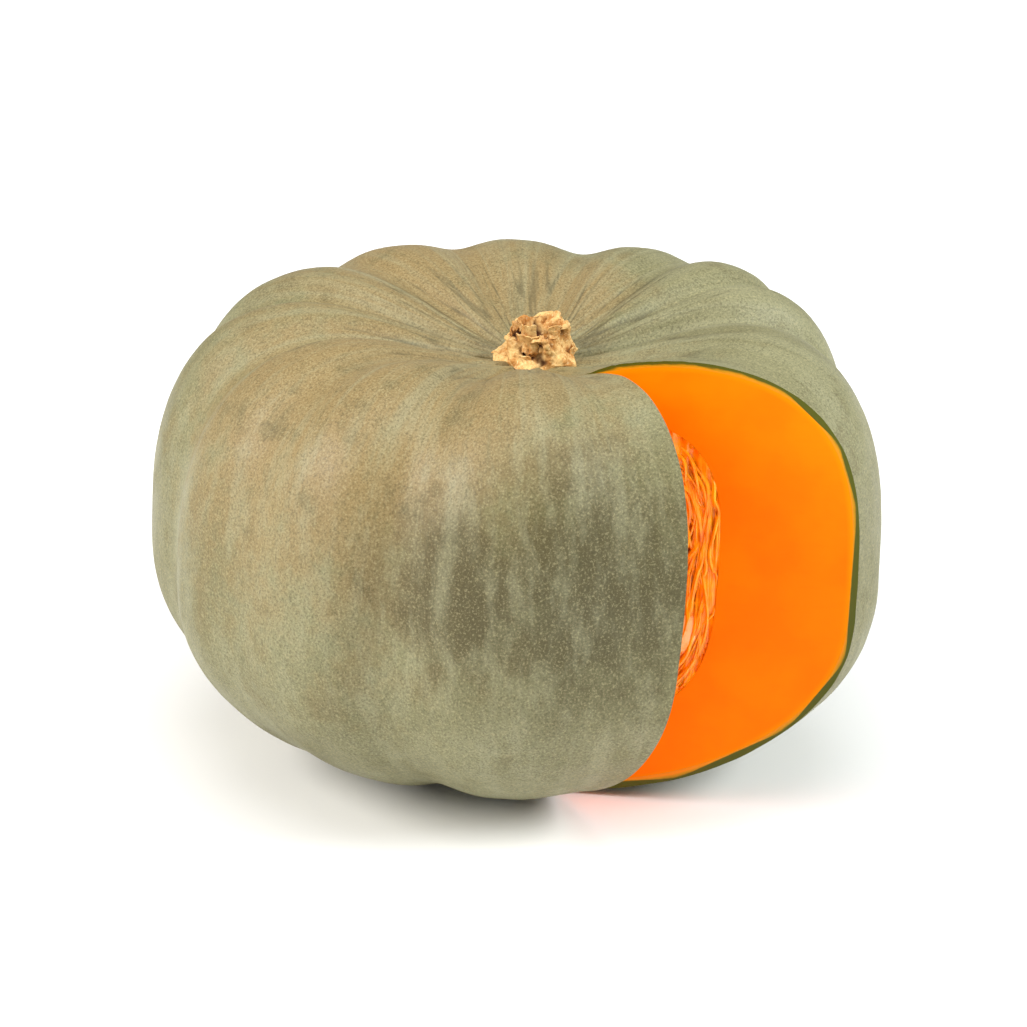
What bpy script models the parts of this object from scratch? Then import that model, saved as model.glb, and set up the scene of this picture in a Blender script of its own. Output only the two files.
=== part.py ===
"""A ribbed grey-green pumpkin with one wedge cut out of it.

The frame is in metres, +Z up, with the floor at z = 0. The notch that the wedge left faces -Y.
An azimuth is measured from -Y towards +X, so it is 0 on the notch's middle. A polar angle is 0 at
the stem and 180 degrees at the blossom end.
"""

import collections
import math
import random

import bmesh
import bpy
from mathutils import Matrix, Vector

# The fruit's body.
EQUATOR_RADIUS = 0.140
EQUATOR_HEIGHT = 0.0797
CROWN_RISE = 0.1114
CROWN_SQUARENESS = 3.1
BELLY_DROP = 0.086
BELLY_SQUARENESS = 2.17
AXIS_X = -0.003
AXIS_Y = 0.0

# The hollows that the stem and the blossom end sit in, and how far the stem leans off the axis.
STEM_DIMPLE_DEPTH = 0.036
STEM_DIMPLE_WIDTH = 0.0703
BLOSSOM_DIMPLE_DEPTH = 0.008
BLOSSOM_DIMPLE_WIDTH = 0.033
STEM_LEAN = Vector((0.0048, -0.0066))

# The furrows between the lobes: where each runs, how deep it is at the side, and how much further
# out and higher than the plain body the fruit stands there.
Furrow = collections.namedtuple("Furrow", "azimuth depth reach crown")
FURROWS = (
    Furrow(-158, 0.006, 0.005, 0.005),
    Furrow(-130, 0.005, -0.0015, -0.0005),
    Furrow(-103, 0.003, -0.0015, 0),
    Furrow(-75, 0.0055, -0.005, 0),
    Furrow(-38, 0.0035, -0.0015, 0.001),
    Furrow(4, 0.003, 0.009, -0.0015),
    Furrow(44, 0.0065, -0.0065, -0.0035),
    Furrow(66, 0.005, 0.0025, 0.002),
    Furrow(87, 0.003, 0.0055, 0.0005),
    Furrow(113, 0.003, 0, -0.0005),
    Furrow(143, 0.003, 0.003, 0.0025),
    Furrow(172, 0.004, 0.006, 0.003),
)
FURROW_SHARPNESS = 1.6
FURROW_START = 0.060

# The layers of the wall. The gap keeps pieces that touch in the real fruit from sharing a surface.
RIND = 0.0025
GAP = 0.0003

# The seed cavity and the stringy pulp that lines it.
CAVITY_RADIUS = 0.098
CAVITY_RISE = 0.070
CAVITY_DROP = 0.070
CAVITY_HEIGHT = 0.0927
CAVITY_SQUARENESS = 3.4
CAVITY_DIMPLE_DEPTH = 0.030
CAVITY_DIMPLE_WIDTH = 0.058
PULP_DEPTH = 0.011

# The relief of the pulp's inner surface: cords that hang and sway from top to bottom, and clumps.
PULP_RELIEF = 0.0035
CORDS = 12
CORD_SHARE = 0.6
CORD_SWAY = 1.5
CORD_SWAYS = 3
CLUMPS = 5
CLUMP_ROWS = 4
CLUMP_SHIFT = 2

# The notch: its edge leans, so it is given at the floor and by its slope, and its two cut faces run
# out from there.
NOTCH_HALF_ANGLE = 25.5
NOTCH_FOOT = Vector((-0.0418, -0.0449, 0))
NOTCH_LEAN = Vector((0.091, -0.022, 1))
NOTCH_REACH = 0.30
NOTCH_BELOW = 0.05
NOTCH_ABOVE = 0.25

# The dried stem stub: its profile from the middle of the torn top to the root, as distance from its
# own axis and height over the bottom of the dimple, and the ribs that twist down it.
STEM_PROFILE = (
    (0, 0.0085),
    (0.0040, 0.0080),
    (0.0075, 0.0105),
    (0.0098, 0.0130),
    (0.0114, 0.0125),
    (0.0116, 0.0100),
    (0.0113, 0.0075),
    (0.0122, 0.0052),
    (0.0140, 0.0032),
    (0.0155, 0.0014),
    (0.0150, -0.0030),
    (0.0080, -0.0060),
    (0, -0.0060),
)
STEM_CREST = 0.013
STEM_RIBS = 5
STEM_RIB_DEPTH = 0.15
STEM_TWIST = 0.9
STEM_PEAK = 0.003
STEM_PEAK_AZIMUTH = 70

# The seeds, which lie in rows on the pulp, at a low angle to it, and point down or up and aside. The
# band is the share of the way from the stem to the blossom end, and the clearance keeps a seed out
# of the cut.
SEED_LENGTH = 0.021
SEED_WIDTH = 0.0115
SEED_THICKNESS = 0.0036
SEED_TAPER = 0.55
SEED_ROOT = 0.005
SEED_ROWS = 9
SEEDS_IN_ROW = 4
SEED_BAND = (0.2, 0.8)
SEED_RISE = 0.35
SEED_LEAN_DOWN = (-1.1, 0.4)
SEED_LEAN_ASIDE = 0.7
SEED_CLEARANCE = 0.014

# The seeds that lie along the pulp's edge on each cut face: the polar angle of each, how far it
# strays from there in degrees, how deep it lies behind the cut, and how far it may rise in the pulp.
CUT_SEED_POLARS = (50, 77, 104, 126)
CUT_SEED_STRAY = 4
CUT_SEED_SINK = 0.0006
CUT_SEED_RISE = 0.002

# The loose strands: where they leave the pulp and how far down they grow back, as shares of the way
# from the stem to the blossom end, and how far they stray round the fruit and into the hollow.
STRANDS = 22
STRAND_RADIUS = 0.0011
STRAND_POINTS = 6
STRAND_START = (0.25, 0.6)
STRAND_SPAN = (0.08, 0.16)
STRAND_STRAY = 0.04
STRAND_BELLY = (0.001, 0.003)
STRAND_CLEARANCE = 0.003

# How finely each piece is divided, and how close two points are before they count as one.
COLUMNS_PER_LOBE = 5
SKIN_RINGS = 24
CAVITY_COLUMNS = 42
CAVITY_RINGS = 16
STEM_COLUMNS = 25
SEED_COLUMNS = 8
SEED_RINGS = 4
MERGE_DISTANCE = 1e-6


def mixed(first, second, share):
    return first * (1 - share) + second * share


def superellipse(polar, radius, rise, squareness):
    """Distance from the axis and height of a rounded box profile."""
    sine, cosine = math.sin(polar), math.cos(polar)
    stretch = (abs(sine) ** squareness + abs(cosine) ** squareness) ** (-1 / squareness)
    return radius * stretch * sine, rise * stretch * cosine


def hollow(radius, depth, width):
    """How deep a rounded hollow on the axis is at this distance from it."""
    return depth * math.exp(-((radius / width) ** 2))


def skin_point(turn, polar):
    """A point of the uncut skin. turn is 0 to 1 round the fruit, with equal shares for the lobes."""
    lobe, along = divmod(turn * len(FURROWS), 1)
    here = FURROWS[int(lobe) % len(FURROWS)]
    there = FURROWS[(int(lobe) + 1) % len(FURROWS)]
    azimuth = math.radians(here.azimuth + along * ((there.azimuth - here.azimuth) % 360))
    share = (1 - math.cos(math.pi * along)) / 2
    upward = math.cos(polar)
    if upward >= 0:
        radius, height = superellipse(polar, EQUATOR_RADIUS, CROWN_RISE, CROWN_SQUARENESS)
        height -= hollow(radius, STEM_DIMPLE_DEPTH, STEM_DIMPLE_WIDTH)
    else:
        radius, height = superellipse(polar, EQUATOR_RADIUS, BELLY_DROP, BELLY_SQUARENESS)
        height += hollow(radius, BLOSSOM_DIMPLE_DEPTH, BLOSSOM_DIMPLE_WIDTH)
    valley = (0.5 + 0.5 * math.cos(2 * math.pi * along)) ** FURROW_SHARPNESS
    drop = mixed(here.depth, there.depth, share) * valley
    drop *= min(1, radius / FURROW_START) * (1 + upward / 2)
    fullness = radius / EQUATOR_RADIUS
    radius += mixed(here.reach, there.reach, share) * fullness - drop * math.sin(polar)
    height += mixed(here.crown, there.crown, share) * fullness * min(1, max(0, 1.5 * upward))
    height -= drop * upward
    lean = STEM_LEAN * max(0, upward) ** 1.5
    return Vector((
        AXIS_X + radius * math.sin(azimuth) + lean.x,
        AXIS_Y - radius * math.cos(azimuth) + lean.y,
        max(0, EQUATOR_HEIGHT + height),
    ))


def cavity_point(turn, polar, inset=0):
    """A point of the seed cavity's wall, or of a surface that lies inset from it."""
    azimuth = 2 * math.pi * turn
    upward = math.cos(polar)
    rise = CAVITY_RISE if upward >= 0 else CAVITY_DROP
    radius, height = superellipse(
        polar, CAVITY_RADIUS - inset, rise - inset, CAVITY_SQUARENESS
    )
    if upward >= 0:
        height -= hollow(radius, CAVITY_DIMPLE_DEPTH, CAVITY_DIMPLE_WIDTH)
    return Vector((
        AXIS_X + radius * math.sin(azimuth),
        AXIS_Y - radius * math.cos(azimuth),
        CAVITY_HEIGHT + height,
    ))


def pulp_point(turn, polar):
    """A point of the pulp's ragged inner surface, which hangs in cords from top to bottom."""
    cords = math.cos(2 * math.pi * CORDS * turn + CORD_SWAY * math.sin(CORD_SWAYS * polar))
    clumps = math.cos(2 * math.pi * CLUMPS * turn + CLUMP_SHIFT) * math.sin(CLUMP_ROWS * polar)
    relief = PULP_RELIEF * (CORD_SHARE * cords + (1 - CORD_SHARE) * clumps)
    return cavity_point(turn, polar, PULP_DEPTH + relief)


def face_outwards(mesh):
    mesh.normal_update()
    bmesh.ops.recalc_face_normals(mesh, faces=mesh.faces)


def globe(point, columns, rings):
    """A closed mesh with the columns and rings of a globe, shaped by point(turn, polar)."""
    mesh = bmesh.new()
    bmesh.ops.create_uvsphere(mesh, u_segments=columns, v_segments=rings, radius=1)
    for vert in mesh.verts:
        turn = math.atan2(vert.co.x, -vert.co.y) / (2 * math.pi) % 1
        polar = math.acos(max(-1, min(1, vert.co.z)))
        vert.co = point(round(turn * columns) / columns, polar)
    face_outwards(mesh)
    return mesh


def collection_named(name):
    made = bpy.data.collections.new(name)
    bpy.context.scene.collection.children.link(made)
    return made


def object_from(mesh, name, collection):
    """A new object that holds this bmesh, which is freed."""
    data = bpy.data.meshes.new(name)
    mesh.to_mesh(data)
    mesh.free()
    made = bpy.data.objects.new(name, data)
    collection.objects.link(made)
    return made


def finish_material(target, name, colour, roughness):
    material = bpy.data.materials.new(name)
    material.use_nodes = True
    shader = material.node_tree.nodes["Principled BSDF"]
    shader.inputs["Base Color"].default_value = (*colour, 1)
    shader.inputs["Roughness"].default_value = roughness
    target.data.materials.append(material)


def displace(target, distance):
    """Moves the surface along its normals: outwards where distance is positive."""
    modifier = target.modifiers.new("Offset", "DISPLACE")
    modifier.mid_level = 0
    modifier.strength = distance


def cut(target, cutter):
    modifier = target.modifiers.new("Cut", "BOOLEAN")
    modifier.operation = "DIFFERENCE"
    modifier.solver = "EXACT"
    modifier.object = cutter


def apply_modifiers(target):
    """Replaces the object's mesh by what its modifiers make of it."""
    graph = bpy.context.evaluated_depsgraph_get()
    data = bpy.data.meshes.new_from_object(target.evaluated_get(graph))
    target.modifiers.clear()
    target.data = data


def smooth(target):
    target.data.shade_smooth()
    target.data.set_sharp_from_angle(angle=math.radians(40))


def notch_edge(height):
    """Where the two cut faces meet, at this height."""
    return NOTCH_FOOT + NOTCH_LEAN * height


def notch_direction(side):
    """The way out along a cut face: side is -1 for the one at -X and 1 for the one at +X."""
    azimuth = math.radians(side * NOTCH_HALF_ANGLE)
    return Vector((math.sin(azimuth), -math.cos(azimuth), 0))


def behind_cut(point):
    """How far a point lies behind the nearer cut face, into the flesh. It is negative in the notch."""
    distances = []
    for side in (-1, 1):
        normal = -side * notch_direction(side).cross(NOTCH_LEAN).normalized()
        distances.append(normal.dot(point - NOTCH_FOOT))
    return max(distances)


def wedge_cutter(collection):
    mesh = bmesh.new()
    bmesh.ops.create_cone(
        mesh, cap_ends=True, segments=3, radius1=1, radius2=1, depth=2
    )
    for vert in mesh.verts:
        edge = notch_edge(NOTCH_ABOVE if vert.co.z > 0 else -NOTCH_BELOW)
        corner = round((math.degrees(math.atan2(vert.co.y, vert.co.x)) - 90) / 120) % 3
        side = (0, 1, -1)[corner]
        vert.co = edge + (notch_direction(side) * NOTCH_REACH if side else Vector())
    face_outwards(mesh)
    return object_from(mesh, "wedge", collection)


def make_rind(parts, wedge):
    """The hard grey-green skin, one lobed shell with the wedge out of it."""
    columns = COLUMNS_PER_LOBE * len(FURROWS)
    rind = object_from(globe(skin_point, columns, SKIN_RINGS), "rind", parts)
    wall = rind.modifiers.new("Wall", "SOLIDIFY")
    wall.thickness = RIND
    wall.offset = -1
    cut(rind, wedge)
    apply_modifiers(rind)
    smooth(rind)
    finish_material(rind, "grey_green_skin", (0.21, 0.22, 0.15), 0.55)


def make_flesh(parts, cutters, wedge):
    """The thick orange wall between the skin and the seed cavity."""
    columns = COLUMNS_PER_LOBE * len(FURROWS)
    flesh = object_from(globe(skin_point, columns, SKIN_RINGS), "flesh", parts)
    cavity = object_from(globe(cavity_point, CAVITY_COLUMNS, CAVITY_RINGS), "cavity", cutters)
    displace(flesh, -RIND - GAP)
    cut(flesh, cavity)
    cut(flesh, wedge)
    apply_modifiers(flesh)
    smooth(flesh)
    finish_material(flesh, "orange_flesh", (0.95, 0.25, 0.01), 0.4)


def surface_frame(turn, polar):
    """A point of the pulp's inner surface, the way into the hollow, and the way down the surface."""
    step = 0.01
    point = pulp_point(turn, polar)
    down = (pulp_point(turn, polar + step) - pulp_point(turn, polar - step)).normalized()
    around = (pulp_point(turn + step, polar) - pulp_point(turn - step, polar)).normalized()
    inward = down.cross(around).normalized()
    towards_middle = Vector((AXIS_X, AXIS_Y, CAVITY_HEIGHT)) - point
    if inward.dot(towards_middle) < 0:
        inward.negate()
    return point, inward, down


def seed_mesh():
    """A flat drop with its pointed end down and its root at the origin."""
    mesh = bmesh.new()
    bmesh.ops.create_uvsphere(mesh, u_segments=SEED_COLUMNS, v_segments=SEED_RINGS, radius=1)
    for vert in mesh.verts:
        taper = 1 - SEED_TAPER * max(0, -vert.co.z) ** 1.5
        vert.co = Vector((
            vert.co.x * taper * SEED_WIDTH / 2,
            vert.co.y * taper * SEED_THICKNESS / 2,
            (vert.co.z + 1) * SEED_LENGTH / 2 - SEED_ROOT,
        ))
    return mesh


def add_seed(collection, draw, turn, polar):
    """One seed that leans out of the pulp, unless the cut would reach it."""
    point, inward, down = surface_frame(turn, polar)
    lean = down * draw.uniform(*SEED_LEAN_DOWN)
    lean += inward.cross(down) * draw.uniform(-SEED_LEAN_ASIDE, SEED_LEAN_ASIDE)
    length = (inward * SEED_RISE + lean.normalized()).normalized()
    across = length.cross(inward).normalized()
    if behind_cut(point + length * SEED_LENGTH / 2) < SEED_CLEARANCE:
        return
    seed = object_from(seed_mesh(), "seed", collection)
    seed.matrix_world = Matrix.Translation(point) @ Matrix((
        across, length.cross(across), length
    )).transposed().to_4x4()


def on_cut(side, polar, inset):
    """A point on a cut face that lies inset from the cavity's wall."""
    rim = cavity_point(0, polar, inset)
    way = notch_direction(side)
    edge = notch_edge(rim.z) - Vector((AXIS_X, AXIS_Y, rim.z))
    radius = AXIS_Y - rim.y
    along = -edge.dot(way) + math.sqrt(edge.dot(way) ** 2 - edge.length_squared + radius**2)
    return notch_edge(rim.z) + way * along


def add_cut_seed(collection, draw, side, polar):
    """One seed that lies along the cut edge of the pulp, half sunk in it."""
    inward = -side * notch_direction(side).cross(NOTCH_LEAN).normalized()
    step = 0.05
    along = on_cut(side, polar - step, PULP_DEPTH) - on_cut(side, polar + step, PULP_DEPTH)
    length = along.normalized() * draw.choice((-1, 1))
    inset = PULP_DEPTH - draw.uniform(0, CUT_SEED_RISE)
    middle = on_cut(side, polar, inset) + inward * CUT_SEED_SINK
    seed = object_from(seed_mesh(), "seed", collection)
    seed.matrix_world = Matrix.Translation(
        middle - length * (SEED_LENGTH / 2 - SEED_ROOT)
    ) @ Matrix((length.cross(inward), -inward, length)).transposed().to_4x4()


def add_strand(collection, draw):
    """One loose thread that leaves the pulp, sags into the hollow and grows back into it."""
    turn, polar = draw.random(), draw.uniform(*STRAND_START) * math.pi
    start, inward, _ = surface_frame(turn, polar)
    other = polar + draw.uniform(*STRAND_SPAN) * math.pi
    stray = draw.uniform(-STRAND_STRAY, STRAND_STRAY)
    finish, inward_there, _ = surface_frame(turn + stray, other)
    belly = (start + finish) / 2 + (inward + inward_there) * draw.uniform(*STRAND_BELLY)
    start -= inward * PULP_RELIEF
    finish -= inward_there * PULP_RELIEF
    route = []
    for index in range(STRAND_POINTS):
        share = index / (STRAND_POINTS - 1)
        route.append(start.lerp(belly, share).lerp(belly.lerp(finish, share), share))
    if min(behind_cut(point) for point in route) < STRAND_CLEARANCE:
        return
    curve = bpy.data.curves.new("strand", "CURVE")
    curve.dimensions = "3D"
    curve.bevel_depth = STRAND_RADIUS
    curve.bevel_resolution = 0
    curve.use_fill_caps = True
    spline = curve.splines.new("POLY")
    spline.points.add(STRAND_POINTS - 1)
    for point, place in zip(spline.points, route):
        point.co = (*place, 1)
    collection.objects.link(bpy.data.objects.new("strand", curve))


def curves_to_meshes(collection):
    """Replaces each curve object in the collection by a closed mesh of the same shape."""
    graph = bpy.context.evaluated_depsgraph_get()
    for curve in [each for each in collection.objects if each.type == "CURVE"]:
        data = bpy.data.meshes.new_from_object(curve.evaluated_get(graph))
        mesh = bmesh.new()
        mesh.from_mesh(data)
        bmesh.ops.remove_doubles(mesh, verts=mesh.verts, dist=MERGE_DISTANCE)
        face_outwards(mesh)
        tube = object_from(mesh, curve.name, collection)
        tube.matrix_world = curve.matrix_world
        bpy.data.objects.remove(curve, do_unlink=True)


def fuse(target, collection):
    """Joins everything in the collection to the target and removes the collection."""
    modifier = target.modifiers.new("Fuse", "BOOLEAN")
    modifier.operation = "UNION"
    modifier.solver = "MANIFOLD"
    modifier.operand_type = "COLLECTION"
    modifier.collection = collection
    apply_modifiers(target)
    for grown in list(collection.objects):
        bpy.data.objects.remove(grown, do_unlink=True)
    bpy.data.collections.remove(collection)


def make_pulp(parts, cutters, wedge):
    """The stringy lining of the cavity, with the seeds and loose strands that grow from it."""
    pulp = object_from(globe(cavity_point, CAVITY_COLUMNS, CAVITY_RINGS), "pulp", parts)
    hollow_form = object_from(globe(pulp_point, CAVITY_COLUMNS, CAVITY_RINGS), "hollow", cutters)
    displace(pulp, -GAP)
    cut(pulp, hollow_form)
    cut(pulp, wedge)
    apply_modifiers(pulp)
    draw = random.Random(7)
    growth = collection_named("Growth")
    for row in range(SEED_ROWS):
        for index in range(SEEDS_IN_ROW):
            turn = (row + draw.uniform(0.3, 0.7)) / SEED_ROWS
            share = (index + draw.uniform(0.2, 0.8)) / SEEDS_IN_ROW
            add_seed(growth, draw, turn, math.pi * mixed(*SEED_BAND, share))
    for side in (-1, 1):
        for polar in CUT_SEED_POLARS:
            stray = draw.uniform(-CUT_SEED_STRAY, CUT_SEED_STRAY)
            add_cut_seed(growth, draw, side, math.radians(polar + stray))
    for _ in range(STRANDS):
        add_strand(growth, draw)
    curves_to_meshes(growth)
    fuse(pulp, growth)
    smooth(pulp)
    finish_material(pulp, "wet_pulp", (0.85, 0.30, 0.02), 0.3)


def stem_point(turn, polar):
    """A point of the stub: its profile with ribs that twist, and one side that stands higher."""
    distance, height = STEM_PROFILE[round(polar / math.pi * (len(STEM_PROFILE) - 1))]
    azimuth = 2 * math.pi * turn
    twist = STEM_TWIST * max(0, height) / STEM_CREST
    distance *= 1 + STEM_RIB_DEPTH * math.cos(STEM_RIBS * (azimuth + twist))
    peak = math.cos(azimuth - math.radians(STEM_PEAK_AZIMUTH))
    height += STEM_PEAK * peak * max(0, height) / STEM_CREST
    foot = EQUATOR_HEIGHT + CROWN_RISE - STEM_DIMPLE_DEPTH
    return Vector((
        AXIS_X + STEM_LEAN.x + distance * math.sin(azimuth),
        AXIS_Y + STEM_LEAN.y - distance * math.cos(azimuth),
        foot + height,
    ))


def make_stem(parts, cutters):
    """The corky stub of the stem, which sits on the skin in the dimple."""
    rings = len(STEM_PROFILE) - 1
    stem = object_from(globe(stem_point, STEM_COLUMNS, rings), "stem", parts)
    columns = COLUMNS_PER_LOBE * len(FURROWS)
    seat = object_from(globe(skin_point, columns, SKIN_RINGS), "seat", cutters)
    displace(seat, GAP)
    apply_modifiers(seat)
    cut(stem, seat)
    apply_modifiers(stem)
    smooth(stem)
    finish_material(stem, "dried_cork", (0.50, 0.33, 0.17), 0.85)


def main():
    for existing in list(bpy.data.objects):
        bpy.data.objects.remove(existing, do_unlink=True)
    parts = collection_named("Pumpkin")
    cutters = collection_named("Cutters")
    wedge = wedge_cutter(cutters)
    make_rind(parts, wedge)
    make_flesh(parts, cutters, wedge)
    make_pulp(parts, cutters, wedge)
    make_stem(parts, cutters)
    for helper in cutters.objects:
        helper.hide_render = True
        helper.display_type = "WIRE"


main()
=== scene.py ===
import collections
import math
import random

import bmesh
import bpy
from mathutils import Matrix, Vector, noise
from mathutils.bvhtree import BVHTree


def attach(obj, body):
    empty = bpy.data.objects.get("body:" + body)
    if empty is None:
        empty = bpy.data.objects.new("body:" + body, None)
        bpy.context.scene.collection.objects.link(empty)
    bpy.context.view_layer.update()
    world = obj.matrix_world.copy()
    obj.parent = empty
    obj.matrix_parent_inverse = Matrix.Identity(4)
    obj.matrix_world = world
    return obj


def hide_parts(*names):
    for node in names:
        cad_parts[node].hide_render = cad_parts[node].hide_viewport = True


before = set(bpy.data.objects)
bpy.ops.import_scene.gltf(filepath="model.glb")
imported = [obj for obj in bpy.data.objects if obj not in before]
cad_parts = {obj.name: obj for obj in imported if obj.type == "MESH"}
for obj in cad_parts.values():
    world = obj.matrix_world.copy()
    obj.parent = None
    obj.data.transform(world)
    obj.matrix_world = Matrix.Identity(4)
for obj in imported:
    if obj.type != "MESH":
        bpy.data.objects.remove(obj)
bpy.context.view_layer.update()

# The studio. A white table runs out of the picture on every side, with one large soft light at the
# left, one behind the right shoulder of the fruit, and a pale surround that fills the shadows. The
# front has no light of its own, so the side that faces the camera is the darkest.
VIEW_AZIMUTH = math.radians(-54)
VIEW_ELEVATION = math.radians(21.07)
VIEW_DISTANCE = 1.4
VIEW_TARGET = Vector((-0.0034, 0.0006, 0.0916))
VIEW_LENS = 126.44
SENSOR_WIDTH = 36
TABLE_HALF_WIDTH = 6
TABLE_DROP = 0.0001
SURROUND_STRENGTH = 0.40
SoftLight = collections.namedtuple("SoftLight", "name azimuth elevation distance size watts colour")
LIGHTS = (
    SoftLight("left_light", -122, 36, 3.0, 1.8, 92, (1.0, 0.97, 0.92)),
    SoftLight("right_light", 24, 34, 3.0, 1.4, 84, (0.95, 1.0, 1.0)),
    SoftLight("top_light", -54, 84, 3.0, 2.6, 36, (1.0, 1.0, 1.0)),
)


def paint(red, green, blue):
    """A linear colour from the 0 to 255 values that a screen shows."""
    return (*[((value / 255 + 0.055) / 1.055) ** 2.4 if value > 10 else value / 255 / 12.92
              for value in (red, green, blue)], 1)


def out_from(azimuth, elevation):
    return Vector((
        math.sin(azimuth) * math.cos(elevation),
        -math.cos(azimuth) * math.cos(elevation),
        math.sin(elevation),
    ))


def stand_at(target, place, look_at):
    target.matrix_world = Matrix.Translation(place) @ (
        (look_at - place).to_track_quat("-Z", "Y").to_matrix().to_4x4()
    )
    bpy.context.scene.collection.objects.link(target)


lens = bpy.data.cameras.new("camera")
lens.lens = VIEW_LENS
lens.sensor_width = SENSOR_WIDTH
camera = bpy.data.objects.new("camera", lens)
stand_at(camera, VIEW_TARGET + out_from(VIEW_AZIMUTH, VIEW_ELEVATION) * VIEW_DISTANCE, VIEW_TARGET)
bpy.context.scene.camera = camera
for light in LIGHTS:
    lamp = bpy.data.lights.new(light.name, "AREA")
    lamp.shape = "DISK"
    lamp.size = light.size
    lamp.energy = light.watts
    lamp.color = light.colour
    way = out_from(math.radians(light.azimuth), math.radians(light.elevation))
    stand_at(bpy.data.objects.new(light.name, lamp), way * light.distance, VIEW_TARGET)
surround = bpy.data.worlds.new("surround")
surround.use_nodes = True
surround.node_tree.nodes["Background"].inputs["Color"].default_value = (1, 1, 1, 1)
surround.node_tree.nodes["Background"].inputs["Strength"].default_value = SURROUND_STRENGTH
bpy.context.scene.world = surround
bpy.context.scene.view_settings.view_transform = "Standard"


def object_from(mesh, name):
    """A new object that holds this bmesh, which is freed."""
    data = bpy.data.meshes.new(name)
    mesh.to_mesh(data)
    mesh.free()
    made = bpy.data.objects.new(name, data)
    bpy.context.scene.collection.objects.link(made)
    return made


def new_material(name):
    """An empty-handed material: its node tree and its shader."""
    material = bpy.data.materials.new(name)
    material.use_nodes = True
    return material, material.node_tree, material.node_tree.nodes["Principled BSDF"]


table_mesh = bmesh.new()
bmesh.ops.create_grid(table_mesh, x_segments=1, y_segments=1, size=TABLE_HALF_WIDTH)
bmesh.ops.translate(table_mesh, verts=table_mesh.verts, vec=(0, 0, -TABLE_DROP))
table = object_from(table_mesh, "table")
white, _, white_shader = new_material("white_table")
white_shader.inputs["Base Color"].default_value = (0.93, 0.93, 0.93, 1)
white_shader.inputs["Roughness"].default_value = 0.9
white_shader.inputs["Specular IOR Level"].default_value = 0.1
table.data.materials.append(white)

# The rind: a hard skin 2.5 mm thick with a grey-green bloom over olive, drawn into twelve uneven
# lobes. It has grown in one piece round the fruit. Fine pleats run into it from the stem, and the
# knife left its edge bare: dark olive under the skin, then yellow towards the flesh.
EQUATOR_RADIUS = 0.140
EQUATOR_HEIGHT = 0.0797
CROWN_RISE = 0.1114
CROWN_SQUARENESS = 3.1
BELLY_DROP = 0.086
BELLY_SQUARENESS = 2.17
AXIS_X = -0.003
AXIS_Y = 0.0
STEM_DIMPLE_DEPTH = 0.036
STEM_DIMPLE_WIDTH = 0.0703
BLOSSOM_DIMPLE_DEPTH = 0.008
BLOSSOM_DIMPLE_WIDTH = 0.033
STEM_LEAN = Vector((0.0048, -0.0066))
Furrow = collections.namedtuple("Furrow", "azimuth depth reach crown")
FURROWS = (
    Furrow(-158, 0.006, 0.005, 0.005),
    Furrow(-130, 0.005, -0.0015, -0.0005),
    Furrow(-103, 0.003, -0.0015, 0),
    Furrow(-75, 0.0055, -0.005, 0),
    Furrow(-38, 0.0035, -0.0015, 0.001),
    Furrow(4, 0.003, 0.009, -0.0015),
    Furrow(44, 0.0065, -0.0065, -0.0035),
    Furrow(66, 0.005, 0.0025, 0.002),
    Furrow(87, 0.003, 0.0055, 0.0005),
    Furrow(113, 0.003, 0, -0.0005),
    Furrow(143, 0.003, 0.003, 0.0025),
    Furrow(172, 0.004, 0.006, 0.003),
)
FURROW_SHARPNESS = 1.6
FURROW_START = 0.060
RIND = 0.0025
RIND_COLUMNS, RIND_RINGS = 480, 170
WALL_COLUMNS, WALL_RINGS = 240, 85
LAYER_GAP = 0.00003
BOX_MARGIN = 0.0005
NOTCH_HALF_ANGLE = math.radians(25.5)
NOTCH_FOOT = Vector((-0.0418, -0.0449, 0))
NOTCH_LEAN = Vector((0.091, -0.022, 1))
NOTCH_REACH = 0.30
NOTCH_BELOW = 0.05
NOTCH_ABOVE = 0.25
STEM_MIDDLE = Vector((AXIS_X + STEM_LEAN.x, AXIS_Y + STEM_LEAN.y))


def mixed(first, second, share):
    return first * (1 - share) + second * share


def eased(value, start, end):
    """0 at start, 1 at end, and smooth between and past them."""
    share = min(1, max(0, (value - start) / (end - start)))
    return share * share * (3 - 2 * share)


def superellipse(polar, radius, rise, squareness):
    sine, cosine = math.sin(polar), math.cos(polar)
    stretch = (abs(sine) ** squareness + abs(cosine) ** squareness) ** (-1 / squareness)
    return radius * stretch * sine, rise * stretch * cosine


def hollow(radius, depth, width):
    return depth * math.exp(-((radius / width) ** 2))


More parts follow.
